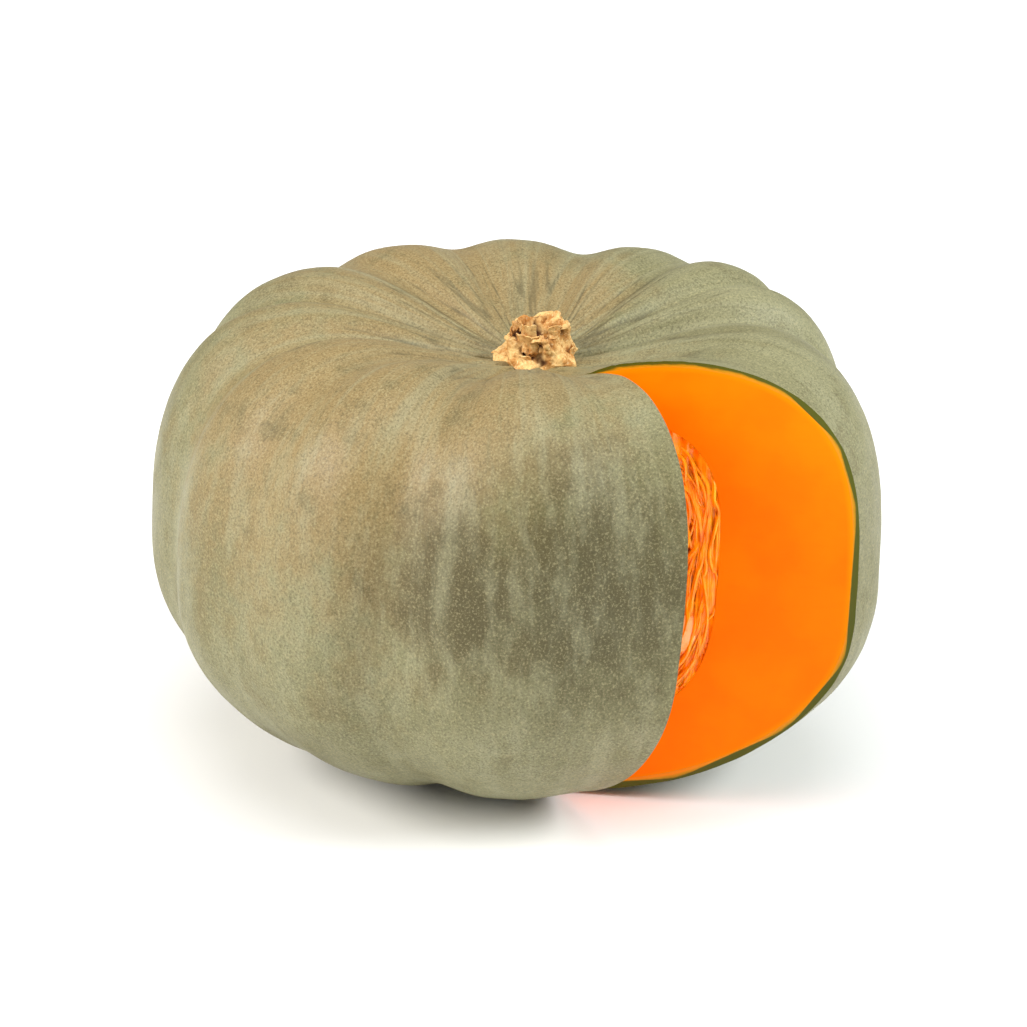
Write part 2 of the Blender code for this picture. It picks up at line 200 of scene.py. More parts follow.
def skin_point(turn, polar):
    """The plain lobed body: turn is 0 to 1 round it, with an equal share for each lobe."""
    lobe, along = divmod(turn * len(FURROWS), 1)
    here = FURROWS[int(lobe) % len(FURROWS)]
    there = FURROWS[(int(lobe) + 1) % len(FURROWS)]
    azimuth = math.radians(here.azimuth + along * ((there.azimuth - here.azimuth) % 360))
    share = (1 - math.cos(math.pi * along)) / 2
    upward = math.cos(polar)
    if upward >= 0:
        radius, height = superellipse(polar, EQUATOR_RADIUS, CROWN_RISE, CROWN_SQUARENESS)
        height -= hollow(radius, STEM_DIMPLE_DEPTH, STEM_DIMPLE_WIDTH)
    else:
        radius, height = superellipse(polar, EQUATOR_RADIUS, BELLY_DROP, BELLY_SQUARENESS)
        height += hollow(radius, BLOSSOM_DIMPLE_DEPTH, BLOSSOM_DIMPLE_WIDTH)
    valley = (0.5 + 0.5 * math.cos(2 * math.pi * along)) ** FURROW_SHARPNESS
    drop = mixed(here.depth, there.depth, share) * valley
    drop *= min(1, radius / FURROW_START) * (1 + upward / 2)
    fullness = radius / EQUATOR_RADIUS
    radius += mixed(here.reach, there.reach, share) * fullness - drop * math.sin(polar)
    height += mixed(here.crown, there.crown, share) * fullness * min(1, max(0, 1.5 * upward))
    height -= drop * upward
    lean = STEM_LEAN * max(0, upward) ** 1.5
    return Vector((
        AXIS_X + radius * math.sin(azimuth) + lean.x,
        AXIS_Y - radius * math.cos(azimuth) + lean.y,
        max(0, EQUATOR_HEIGHT + height),
    ))


def globe(point, columns, rings):
    """A closed sphere whose vertices are moved to point(turn, polar)."""
    mesh = bmesh.new()
    bmesh.ops.create_uvsphere(mesh, u_segments=columns, v_segments=rings, radius=1)
    for vert in mesh.verts:
        turn = math.atan2(vert.co.x, -vert.co.y) / (2 * math.pi) % 1
        polar = math.acos(max(-1, min(1, vert.co.z)))
        vert.co = point(round(turn * columns) / columns, polar)
    mesh.normal_update()
    bmesh.ops.recalc_face_normals(mesh, faces=mesh.faces)
    mesh.normal_update()
    return mesh


def skin_relief(place):
    """How far the skin stands out from the plain body at this place, and how deep its creases are."""
    offset = Vector((place.x, place.y)) - STEM_MIDDLE
    distance = max(offset.length, 1e-6)
    around = offset / distance
    top = eased(place.z, 0.10, 0.14)
    near_stem = eased(distance, 0.012, 0.022) * (1 - eased(distance, 0.045, 0.105)) * top
    pleat = noise.noise(Vector((around.x * 10, around.y * 10, distance * 16)))
    fine_pleat = noise.noise(Vector((around.x * 21, around.y * 21, distance * 30 + 7)))
    crease = max(0, 1 - abs(pleat) / 0.16) ** 1.6 + 0.6 * max(0, 1 - abs(fine_pleat) / 0.2) ** 1.6
    crease *= near_stem
    groove = noise.noise(Vector((around.x * 9, around.y * 9, place.z * 7 + 3)))
    flank = max(0, 1 - abs(groove) / 0.12) ** 2 * 0.35 * (1 - near_stem)
    rise = 0.00045 * noise.noise(place * 28) + 0.00016 * noise.noise(place * 105 + Vector((5, 0, 0)))
    rise += 0.0003 * pleat * near_stem
    return rise - 0.00038 * crease - 0.00022 * flank, crease + flank


def cut_direction(side):
    return Vector((math.sin(side * NOTCH_HALF_ANGLE), -math.cos(side * NOTCH_HALF_ANGLE), 0))


INTO_FLESH = [-side * cut_direction(side).cross(NOTCH_LEAN).normalized() for side in (-1, 1)]


def behind_cut(place):
    """How far a place lies behind each cut face, into the flesh: the one at -X, then the one at +X."""
    gap = place - NOTCH_FOOT
    return [normal.dot(gap) for normal in INTO_FLESH]


def make_wedge():
    mesh = bmesh.new()
    bmesh.ops.create_cone(mesh, cap_ends=True, segments=3, radius1=1, radius2=1, depth=2)
    for vert in mesh.verts:
        height = NOTCH_ABOVE if vert.co.z > 0 else -NOTCH_BELOW
        corner = round((math.degrees(math.atan2(vert.co.y, vert.co.x)) - 90) / 120) % 3
        side = (0, 1, -1)[corner]
        vert.co = NOTCH_FOOT + NOTCH_LEAN * height
        if side:
            vert.co += cut_direction(side) * NOTCH_REACH
    mesh.normal_update()
    bmesh.ops.recalc_face_normals(mesh, faces=mesh.faces)
    return object_from(mesh, "wedge")


def take_away(target, *cutters):
    """Cuts the closed shapes out of the target and replaces its mesh by the result."""
    for cutter in cutters:
        modifier = target.modifiers.new("Cut", "BOOLEAN")
        modifier.operation = "DIFFERENCE"
        modifier.solver = "MANIFOLD"
        modifier.object = cutter
    graph = bpy.context.evaluated_depsgraph_get()
    data = bpy.data.meshes.new_from_object(target.evaluated_get(graph))
    data.materials.clear()
    target.modifiers.clear()
    target.data = data


def shade(target, *materials):
    for material in materials:
        target.data.materials.append(material)
    target.data.shade_smooth()
    target.data.set_sharp_from_angle(angle=math.radians(40))


def plug(tree, socket, value):
    if isinstance(value, bpy.types.NodeSocket):
        tree.links.new(value, socket)
    else:
        socket.default_value = value


def noise_node(tree, vector, scale, detail=3.0, roughness=0.6):
    made = tree.nodes.new("ShaderNodeTexNoise")
    plug(tree, made.inputs["Vector"], vector)
    made.inputs["Scale"].default_value = scale
    made.inputs["Detail"].default_value = detail
    made.inputs["Roughness"].default_value = roughness
    return made.outputs["Fac"]


def range_node(tree, value, from_low, from_high, to_low=0.0, to_high=1.0):
    made = tree.nodes.new("ShaderNodeMapRange")
    made.interpolation_type = "SMOOTHSTEP"
    for name, given in zip(
        ("Value", "From Min", "From Max", "To Min", "To Max"),
        (value, from_low, from_high, to_low, to_high),
    ):
        plug(tree, made.inputs[name], given)
    return made.outputs["Result"]


def math_node(tree, operation, first, second=0.0):
    made = tree.nodes.new("ShaderNodeMath")
    made.operation = operation
    plug(tree, made.inputs[0], first)
    plug(tree, made.inputs[1], second)
    return made.outputs[0]


def mix_node(tree, share, first, second, blend="MIX"):
    made = tree.nodes.new("ShaderNodeMix")
    made.data_type = "RGBA"
    made.blend_type = blend
    plug(tree, made.inputs[0], share)
    plug(tree, made.inputs[6], first)
    plug(tree, made.inputs[7], second)
    return made.outputs[2]


def attribute_node(tree, name):
    made = tree.nodes.new("ShaderNodeAttribute")
    made.attribute_name = name
    return made.outputs["Fac"]


def place_node(tree):
    return tree.nodes.new("ShaderNodeTexCoord").outputs["Object"]


def stretched(tree, vector, scale, move=(0, 0, 0)):
    made = tree.nodes.new("ShaderNodeMapping")
    plug(tree, made.inputs["Vector"], vector)
    made.inputs["Scale"].default_value = scale
    made.inputs["Location"].default_value = move
    return made.outputs["Vector"]


def bump_node(tree, height, distance, strength=1.0, below=None):
    made = tree.nodes.new("ShaderNodeBump")
    made.inputs["Strength"].default_value = strength
    made.inputs["Distance"].default_value = distance
    plug(tree, made.inputs["Height"], height)
    if below:
        tree.links.new(below, made.inputs["Normal"])
    return made.outputs["Normal"]


def patch_node(tree, place, centre, reach):
    """1 at the centre of a soft round patch and 0 beyond its reach."""
    gap = tree.nodes.new("ShaderNodeVectorMath")
    gap.operation = "DISTANCE"
    plug(tree, gap.inputs[0], place)
    gap.inputs[1].default_value = centre
    return range_node(tree, gap.outputs["Value"], reach, 0.0)


def most_of(tree, values):
    total = values[0]
    for value in values[1:]:
        total = math_node(tree, "MAXIMUM", total, value)
    return total


def around_axis(tree, place, upright):
    """The horizontal way out from the axis and a slow height: what runs from the stem downwards."""
    parts = tree.nodes.new("ShaderNodeSeparateXYZ")
    plug(tree, parts.inputs[0], place)
    flat = tree.nodes.new("ShaderNodeCombineXYZ")
    plug(tree, flat.inputs[0], parts.outputs[0])
    plug(tree, flat.inputs[1], parts.outputs[1])
    unit = tree.nodes.new("ShaderNodeVectorMath")
    unit.operation = "NORMALIZE"
    plug(tree, unit.inputs[0], flat.outputs[0])
    rise = tree.nodes.new("ShaderNodeCombineXYZ")
    plug(tree, rise.inputs[2], math_node(tree, "MULTIPLY", parts.outputs[2], upright))
    whole = tree.nodes.new("ShaderNodeVectorMath")
    plug(tree, whole.inputs[0], unit.outputs[0])
    plug(tree, whole.inputs[1], rise.outputs[0])
    return whole.outputs[0], parts


WARM_PATCHES = (
    ((-0.080, 0.000, 0.160), 0.150),
    ((0.022, 0.060, 0.173), 0.100),
    ((0.040, 0.020, 0.172), 0.060),
    ((0.110, 0.080, 0.130), 0.090),
)
# Dark olive patches: the two on the front that faces the camera are painted shade, and the two further round
# darken the skin there.
SHADE_AND_DARK_PATCHES = (
    ((-0.092, -0.100, 0.115), 0.082),
    ((-0.113, -0.060, 0.112), 0.060),
    ((0.100, -0.080, 0.100), 0.060),
    ((0.020, 0.130, 0.090), 0.060),
)
skin, tree, shader = new_material("bloomed_skin")
place = place_node(tree)
streaming, parts = around_axis(tree, place, 2.5)
fine = noise_node(tree, place, 1150, 3, 0.75)
grain = noise_node(tree, place, 420, 2, 0.6)
cloud = noise_node(tree, place, 62, 4, 0.62)
broad = noise_node(tree, place, 17, 3, 0.5)
streak = noise_node(tree, streaming, 13, 4, 0.65)
thin_streak = noise_node(tree, streaming, 46, 3, 0.6)
wander = math_node(tree, "MULTIPLY", math_node(tree, "SUBTRACT", cloud, 0.5), 1.3)
warm = most_of(tree, [patch_node(tree, place, *patch) for patch in WARM_PATCHES])
shade_and_dark = most_of(tree, [patch_node(tree, place, *patch) for patch in SHADE_AND_DARK_PATCHES])
warm = range_node(tree, math_node(tree, "ADD", warm, wander), 0.05, 0.80)
shade_and_dark = range_node(tree, math_node(tree, "ADD", shade_and_dark, wander), 0.05, 0.95)
colour = mix_node(
    tree, range_node(tree, broad, 0.35, 0.65), paint(130, 127, 92), paint(114, 110, 74)
)
colour = mix_node(tree, math_node(tree, "MULTIPLY", warm, 0.85), colour, paint(142, 118, 74))
# Painted shade on the front and darker skin further round: these patches turn the colour dark olive.
colour = mix_node(tree, math_node(tree, "MULTIPLY", shade_and_dark, 0.85), colour, paint(66, 58, 24))
colour = mix_node(tree, range_node(tree, streak, 0.42, 0.72, 0.0, 0.45), colour, paint(150, 148, 116))
colour = mix_node(tree, range_node(tree, thin_streak, 0.55, 0.75, 0.0, 0.35), colour, paint(88, 84, 52))
colour = mix_node(tree, range_node(tree, cloud, 0.50, 0.72, 0.0, 0.35), colour, paint(92, 88, 56))
colour = mix_node(tree, range_node(tree, fine, 0.50, 0.66, 0.0, 0.50), colour, paint(58, 52, 24))
colour = mix_node(tree, range_node(tree, fine, 0.48, 0.34, 0.0, 0.42), colour, paint(172, 162, 120))
# Painted shade: the pleats near the stem and the grooves down the flanks are coloured darker the deeper they
# are.
crease = attribute_node(tree, "crease")
colour = mix_node(tree, range_node(tree, crease, 0.15, 1.1, 0.0, 0.55), colour, paint(72, 66, 40))
tree.links.new(colour, shader.inputs["Base Color"])
tree.links.new(range_node(tree, cloud, 0.35, 0.65, 0.46, 0.60), shader.inputs["Roughness"])
shader.inputs["Specular IOR Level"].default_value = 0.42
rough = bump_node(tree, grain, 0.00022, 0.8)
tree.links.new(bump_node(tree, fine, 0.00016, 0.8, rough), shader.inputs["Normal"])

edge, tree, shader = new_material("cut_rind")
depth = attribute_node(tree, "depth")
place = place_node(tree)
wobble = math_node(
    tree, "MULTIPLY", math_node(tree, "SUBTRACT", noise_node(tree, place, 300, 2), 0.5), 0.0006
)
depth = math_node(tree, "ADD", depth, wobble)
colour = mix_node(tree, range_node(tree, depth, 0.0006, 0.0015), paint(78, 84, 8), paint(190, 138, 4))
colour = mix_node(tree, range_node(tree, depth, 0.0013, 0.0026), colour, paint(238, 140, 0))
tree.links.new(colour, shader.inputs["Base Color"])
shader.inputs["Roughness"].default_value = 0.5
shader.inputs["Specular IOR Level"].default_value = 0.25
tree.links.new(
    bump_node(tree, noise_node(tree, place, 900, 2), 0.0001), shader.inputs["Normal"]
)

wedge = make_wedge()
outer = globe(skin_point, RIND_COLUMNS, RIND_RINGS)
crease_layer = outer.verts.layers.float.new("crease")
moves = []
for vert in outer.verts:
    rise, crease_depth = skin_relief(vert.co)
    vert[crease_layer] = crease_depth
    moves.append(vert.normal * (rise - BOX_MARGIN))
for vert, move in zip(outer.verts, moves):
    vert.co += move
    vert.co.z = max(0.0, vert.co.z - 1.6 * BOX_MARGIN * (1 - eased(vert.co.z, 0.0, 0.04)))
skin_tree = BVHTree.FromBMesh(outer)


def wall_globe(depth):
    """The plain body, that far under the skin."""
    mesh = globe(skin_point, WALL_COLUMNS, WALL_RINGS)
    for vert, normal in [(vert, vert.normal.copy()) for vert in mesh.verts]:
        vert.co -= normal * depth
    return mesh


inner = wall_globe(RIND + BOX_MARGIN)
bmesh.ops.reverse_faces(inner, faces=inner.faces)
inner_data = bpy.data.meshes.new("inner")
inner.to_mesh(inner_data)
inner.free()
outer.from_mesh(inner_data)
bpy.data.meshes.remove(inner_data)
rind = object_from(outer, "rind_skin")
take_away(rind, wedge)


def cut_faces(mesh, side):
    """The faces that lie on one cut: side is 0 for the one at -X and 1 for the one at +X."""
    on_plane = {vert for vert in mesh.verts if abs(behind_cut(vert.co)[side]) < 2e-6}
    touching = {face for vert in on_plane for face in vert.link_faces}
    return [face for face in touching if all(vert in on_plane for vert in face.verts)]


def mark_layers(mesh):
    """Stores each point's depth under the skin, and gives the cut faces the second material."""
    for side in (0, 1):
        for face in cut_faces(mesh, side):
            face.material_index = 1
    depth_layer = mesh.verts.layers.float.new("depth")
    for vert in mesh.verts:
        vert[depth_layer] = skin_tree.find_nearest(vert.co)[3]


def mesh_of(target):
    mesh = bmesh.new()
    mesh.from_mesh(target.data)
    return mesh


def give_mesh(target, mesh):
    mesh.to_mesh(target.data)
    mesh.free()


mesh = mesh_of(rind)
mark_layers(mesh)
give_mesh(rind, mesh)
shade(rind, skin, edge)
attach(rind, "root")
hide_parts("rind")

# The flesh: a firm orange wall as thick as three fingers, moist and smooth where the knife went
# through. It has grown fast to the rind, with a thin yellow-green band between them, and turns a
# little deeper in colour towards the seed cavity.
CAVITY_RADIUS = 0.098
CAVITY_RISE = 0.070
CAVITY_DROP = 0.070
CAVITY_HEIGHT = 0.0927
CAVITY_SQUARENESS = 3.4
CAVITY_DIMPLE_DEPTH = 0.030
CAVITY_DIMPLE_WIDTH = 0.058
CUT_STEP = 0.003


def cavity_point(turn, polar, inset=0):
    """A point of the seed cavity's wall, or of a surface that lies inset from it."""
    azimuth = 2 * math.pi * turn
    upward = math.cos(polar)
    rise = CAVITY_RISE if upward >= 0 else CAVITY_DROP
    radius, height = superellipse(polar, CAVITY_RADIUS - inset, rise - inset, CAVITY_SQUARENESS)
    if upward >= 0:
        height -= hollow(radius, CAVITY_DIMPLE_DEPTH, CAVITY_DIMPLE_WIDTH)
    return Vector((
        AXIS_X + radius * math.sin(azimuth),
        AXIS_Y - radius * math.cos(azimuth),
        CAVITY_HEIGHT + height,
    ))


def divide_cuts(mesh, step_out, step_up):
    """Divides each cut face into a net, so that its depths and its relief can vary over it."""
    for side in (0, 1):
        faces = cut_faces(mesh, side)
        if len(faces) > 1:
            faces = bmesh.ops.dissolve_faces(mesh, faces=faces)["region"]
        geometry = list(faces)
        geometry += list({edge for face in faces for edge in face.edges})
        geometry += list({vert for face in faces for vert in face.verts})
        for direction, step in ((Vector((0, 0, 1)), step_up), (cut_direction(2 * side - 1), step_out)):
            places = [
                direction.dot(item.co) for item in geometry if isinstance(item, bmesh.types.BMVert)
            ]
            for index in range(math.ceil(min(places) / step), math.ceil(max(places) / step)):
                geometry = bmesh.ops.bisect_plane(
                    mesh, geom=geometry, dist=1e-7,
                    plane_co=direction * index * step, plane_no=direction,
                )["geom"]


moist, tree, shader = new_material("orange_flesh")
place = place_node(tree)
depth = attribute_node(tree, "depth")
cloud = noise_node(tree, place, 40, 3, 0.5)
fibre = noise_node(tree, stretched(tree, place, (60, 60, 420)), 1.0, 3, 0.6)
colour = mix_node(tree, range_node(tree, cloud, 0.35, 0.65), paint(250, 122, 0), paint(250, 130, 0))
colour = mix_node(tree, range_node(tree, fibre, 0.5, 0.8, 0.0, 0.2), colour, paint(246, 112, 0))
colour = mix_node(tree, range_node(tree, depth, 0.0048, 0.0024), colour, paint(238, 140, 0))
tree.links.new(colour, shader.inputs["Base Color"])
shader.inputs["Roughness"].default_value = 0.5
shader.inputs["Specular IOR Level"].default_value = 0.05
tree.links.new(bump_node(tree, noise_node(tree, place, 700, 2), 0.00006), shader.inputs["Normal"])

flesh = object_from(wall_globe(RIND + BOX_MARGIN + LAYER_GAP), "flesh_wall")
cavity = object_from(globe(cavity_point, WALL_COLUMNS, WALL_RINGS), "cavity")
take_away(flesh, cavity, wedge)
mesh = mesh_of(flesh)
divide_cuts(mesh, CUT_STEP, CUT_STEP)
mark_layers(mesh)
give_mesh(flesh, mesh)
shade(flesh, moist, moist)
bpy.data.objects.remove(cavity, do_unlink=True)
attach(flesh, "root")
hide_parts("flesh")

# The pulp: the wet, stringy lining of the seed cavity. It hangs in cords from top to bottom, and
# the knife has left its edge ragged, with loose threads along it and one cream seed.
PULP_DEPTH = 0.011
PULP_RELIEF = 0.0035
CORDS = 12
CORD_SHARE = 0.6
CORD_SWAY = 1.5
CORD_SWAYS = 3
CLUMPS = 5
CLUMP_ROWS = 4
CLUMP_SHIFT = 2
PULP_GAP = 0.0001
PULP_COLUMNS, PULP_RINGS = 300, 110


def pulp_point(turn, polar):
    """A point of the pulp's ragged inner surface."""
    cords = math.cos(2 * math.pi * CORDS * turn + CORD_SWAY * math.sin(CORD_SWAYS * polar))
    clumps = math.cos(2 * math.pi * CLUMPS * turn + CLUMP_SHIFT) * math.sin(CLUMP_ROWS * polar)
    relief = PULP_RELIEF * (CORD_SHARE * cords + (1 - CORD_SHARE) * clumps)
    azimuth = 2 * math.pi * turn
    string = noise.noise(Vector((math.cos(azimuth) * 13, math.sin(azimuth) * 13, polar * 2.2)))
    thread = noise.noise(Vector((math.cos(azimuth) * 34, math.sin(azimuth) * 34, polar * 4)))
    relief += 0.0026 * (0.45 - abs(string) * 2) + 0.0010 * (0.4 - abs(thread) * 2)
    return cavity_point(turn, polar, PULP_DEPTH + relief)


wet, tree, shader = new_material("wet_pulp")
place = place_node(tree)
streaming, parts = around_axis(tree, place, 5)
cord = noise_node(tree, streaming, 26, 3, 0.6)
thread = noise_node(tree, stretched(tree, place, (520, 520, 45)), 1.0, 3, 0.6)
blot = noise_node(tree, place, 110, 3, 0.6)
colour = mix_node(tree, range_node(tree, cord, 0.35, 0.65), paint(250, 142, 0), paint(255, 172, 10))
colour = mix_node(tree, range_node(tree, thread, 0.52, 0.70, 0.0, 0.5), colour, paint(226, 116, 0))
colour = mix_node(tree, range_node(tree, thread, 0.46, 0.32, 0.0, 0.6), colour, paint(255, 190, 30))
colour = mix_node(tree, range_node(tree, blot, 0.56, 0.74, 0.0, 0.6), colour, paint(206, 96, 4))
tree.links.new(colour, shader.inputs["Base Color"])
shader.inputs["Roughness"].default_value = 0.28
shader.inputs["Specular IOR Level"].default_value = 0.5
rough = bump_node(tree, thread, 0.0007, 0.9)
tree.links.new(
    bump_node(tree, noise_node(tree, place, 500, 2), 0.0002, 0.8, rough), shader.inputs["Normal"]
)

lining = globe(lambda turn, polar: cavity_point(turn, polar, PULP_GAP), WALL_COLUMNS, WALL_RINGS)
pulp = object_from(lining, "pulp_lining")
hollow_form = object_from(globe(pulp_point, PULP_COLUMNS, PULP_RINGS), "hollow")
take_away(pulp, hollow_form, wedge)
bpy.data.objects.remove(hollow_form, do_unlink=True)
mesh = mesh_of(pulp)
divide_cuts(mesh, 0.0007, 0.0022)
mark_layers(mesh)
for side in (0, 1):
    faces = cut_faces(mesh, side)
    rim = {vert for face in faces for edge in face.edges if any(
        other.material_index == 0 for other in edge.link_faces) for vert in edge.verts}
    for vert in {vert for face in faces for vert in face.verts} - rim:
        strand = noise.noise(Vector((vert.co.x * 420, vert.co.y * 420, vert.co.z * 42)))
        knot = noise.noise(vert.co * 190)
        sink = 0.0018 * max(0, 0.35 + strand) + 0.0010 * max(0, knot)
        vert.co += INTO_FLESH[side] * sink
give_mesh(pulp, mesh)
shade(pulp, wet, wet)
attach(pulp, "root")
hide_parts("pulp")


def surface_frame(turn, polar):
    """A point of the pulp's inner surface, the way into the hollow, and the way down the surface."""
    step = 0.01
    point = pulp_point(turn, polar)
    down = (cavity_point(turn, polar + step) - cavity_point(turn, polar - step)).normalized()
    around = (cavity_point(turn + step, polar) - cavity_point(turn - step, polar)).normalized()
    inward = down.cross(around).normalized()
    if inward.dot(Vector((AXIS_X, AXIS_Y, CAVITY_HEIGHT)) - point) < 0:
        inward.negate()
    return point, inward, down


def on_cut(side, polar, inset):
    """A point on a cut face that lies inset from the cavity's wall."""
    rim = cavity_point(0, polar, inset)
    way = cut_direction(side)
    line = NOTCH_FOOT + NOTCH_LEAN * rim.z
    start = line - Vector((AXIS_X, AXIS_Y, rim.z))
    radius = AXIS_Y - rim.y
    along = -start.dot(way) + math.sqrt(max(0, start.dot(way) ** 2 - start.length_squared + radius**2))
    return line + way * along


# The threads: hair-thin to string-thick fibres of the pulp. Those at the knife's edge lie along the
# cut, and the others hang inside the cavity between the seeds. All of them are rooted in the pulp.
CUT_THREADS = 70
HOLLOW_THREADS = 120
THREAD_POINTS = 16

draw = random.Random(11)
threads = bpy.data.curves.new("threads", "CURVE")
threads.dimensions = "3D"
threads.bevel_depth = 1.0
threads.bevel_resolution = 1
threads.use_fill_caps = True


def add_thread(route, radius):
    spline = threads.splines.new("POLY")
    spline.points.add(len(route) - 1)
    for index, place in enumerate(route):
        share = index / (len(route) - 1)
        spline.points[index].co = (*place, 1)
        spline.points[index].radius = radius * (0.45 + 0.8 * math.sin(math.pi * share) ** 0.5)


for side in (-1, 1):
    into_flesh = INTO_FLESH[side > 0]
    for index in range(CUT_THREADS):
        inset = draw.uniform(0.0008, PULP_DEPTH)
        start = draw.uniform(0.24, 0.62) * math.pi
        span = draw.uniform(0.05, 0.24) * math.pi
        sway, phase = draw.uniform(0.0004, 0.0022), draw.uniform(0, 6)
        route = []
        for step in range(THREAD_POINTS):
            share = step / (THREAD_POINTS - 1)
            depth_in = max(0.0005, inset + sway * math.sin(phase + 5 * share))
            place = on_cut(side, start + span * share, depth_in)
            sink = 0.0012 - 0.0014 * math.sin(math.pi * share)
            route.append(place + into_flesh * sink)
        add_thread(route, draw.choice((0.00025, 0.0004, 0.0006, 0.0008)))
for index in range(HOLLOW_THREADS):
    turn, polar = draw.random(), draw.uniform(0.22, 0.6) * math.pi
    span = draw.uniform(0.08, 0.22) * math.pi
    stray, belly = draw.uniform(-0.03, 0.03), draw.uniform(0.0005, 0.003)
    route = []
    for step in range(THREAD_POINTS):
        share = step / (THREAD_POINTS - 1)
        place, inward, _ = surface_frame(turn + stray * share, polar + span * share)
        route.append(place + inward * (belly * math.sin(math.pi * share) * 2 - 0.0008))
    if min(max(behind_cut(place)) for place in route) > 0.002:
        add_thread(route, draw.choice((0.0003, 0.0005, 0.0008)))
thread_curve = bpy.data.objects.new("thread_curve", threads)
bpy.context.scene.collection.objects.link(thread_curve)
graph = bpy.context.evaluated_depsgraph_get()
thread_data = bpy.data.meshes.new_from_object(thread_curve.evaluated_get(graph))
bpy.data.objects.remove(thread_curve, do_unlink=True)
thread_piece = bpy.data.objects.new("pulp_threads", thread_data)
bpy.context.scene.collection.objects.link(thread_piece)
shade(thread_piece, wet)
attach(thread_piece, "root")

# The seeds: flat cream drops with a thick rim, a thumbnail long. They lie in rows on the pulp with
# their points rooted in it. One of them lies bare at the foot of the cut face on the right.
SEED_LENGTH = 0.021
SEED_WIDTH = 0.0115
SEED_THICKNESS = 0.0036
SEED_TAPER = 0.55
SEED_ROOT = 0.005
SEED_ROWS = 14
SEEDS_IN_ROW = 7
SEED_CLEARANCE = 0.012
BARE_SEED_POLAR = math.radians(119)
BARE_SEED_INSET = 0.0095
CUT_SEEDS = ((-1, 62), (-1, 95), (-1, 118), (1, 56))

cream, tree, shader = new_material("cream_seed")
place = place_node(tree)
film = noise_node(tree, place, 240, 3, 0.6)
colour = mix_node(tree, range_node(tree, film, 0.42, 0.68), paint(252, 205, 140), paint(255, 168, 60))
tree.links.new(colour, shader.inputs["Base Color"])
shader.inputs["Roughness"].default_value = 0.3
shader.inputs["Specular IOR Level"].default_value = 0.5
tree.links.new(bump_node(tree, film, 0.0002, 0.6), shader.inputs["Normal"])

seeds_mesh = bmesh.new()


def add_seed(place, length, across):
    """One seed, its root at the place, pointing along length and as wide as across says."""
    facing = length.cross(across).normalized()
    turned = Matrix((across, facing, length)).transposed().to_4x4()
    made = bmesh.ops.create_uvsphere(seeds_mesh, u_segments=16, v_segments=10, radius=1)["verts"]
    for vert in made:
        taper = 1 - SEED_TAPER * max(0, -vert.co.z) ** 1.5
        rim = 1 - 0.35 * (1 - vert.co.x**2) * (1 - vert.co.z**2)
        vert.co = Vector((
            vert.co.x * taper * SEED_WIDTH / 2,
            vert.co.y * taper * rim * SEED_THICKNESS / 2,
            (vert.co.z + 1) * SEED_LENGTH / 2 - SEED_ROOT,
        ))
    bmesh.ops.transform(seeds_mesh, matrix=Matrix.Translation(place) @ turned, verts=made)


for row in range(SEED_ROWS):
    for index in range(SEEDS_IN_ROW):
        turn = (row + draw.uniform(0.2, 0.8)) / SEED_ROWS
        polar = math.pi * mixed(0.2, 0.8, (index + draw.uniform(0.2, 0.8)) / SEEDS_IN_ROW)
        place, inward, down = surface_frame(turn, polar)
        lean = down * draw.uniform(-1.1, 0.4) + inward.cross(down) * draw.uniform(-0.7, 0.7)
        length = (inward * draw.uniform(0.2, 0.45) + lean.normalized()).normalized()
        if max(behind_cut(place + length * SEED_LENGTH / 2)) > SEED_CLEARANCE:
            add_seed(place, length, length.cross(inward).normalized())
for side, degrees in CUT_SEEDS:
    into_flesh = INTO_FLESH[side > 0]
    polar = math.radians(degrees)
    along = (on_cut(side, polar - 0.05, PULP_DEPTH) - on_cut(side, polar + 0.05, PULP_DEPTH)).normalized()
    place = on_cut(side, polar + 0.1, PULP_DEPTH - 0.001) + into_flesh * 0.0012
    add_seed(place, along, along.cross(into_flesh).normalized())
into_flesh = INTO_FLESH[1]
along = on_cut(1, BARE_SEED_POLAR - 0.1, BARE_SEED_INSET) - on_cut(1, BARE_SEED_POLAR + 0.1, BARE_SEED_INSET)
along = along.normalized()
add_seed(
    on_cut(1, BARE_SEED_POLAR, BARE_SEED_INSET) + into_flesh * 0.0004,
    along, along.cross(into_flesh).normalized(),
)
seeds = object_from(seeds_mesh, "seeds")
shade(seeds, cream)
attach(seeds, "root")

# The stem stub: what is left of the corky stalk, dried, torn across and split. Its bark stands in
# folds over hollows that painted shade darkens, and its foot spreads over the skin in pale flakes all round.
STEM_PROFILE = (
    (0, 0.0085), (0.0040, 0.0080), (0.0075, 0.0105), (0.0098, 0.0130), (0.0114, 0.0125),
    (0.0116, 0.0100), (0.0113, 0.0075), (0.0122, 0.0052), (0.0140, 0.0032), (0.0155, 0.0014),
    (0.0150, -0.0030), (0.0080, -0.0060), (0, -0.0060),
)
STEM_CREST = 0.013
STEM_RIBS = 5
STEM_RIB_DEPTH = 0.15
STEM_TWIST = 0.9
STEM_PEAK = 0.003
STEM_PEAK_AZIMUTH = math.radians(70)
STEM_COLUMNS, STEM_RINGS = 200, 130
STEM_FOOT = EQUATOR_HEIGHT + CROWN_RISE - STEM_DIMPLE_DEPTH
FLAKES = 26


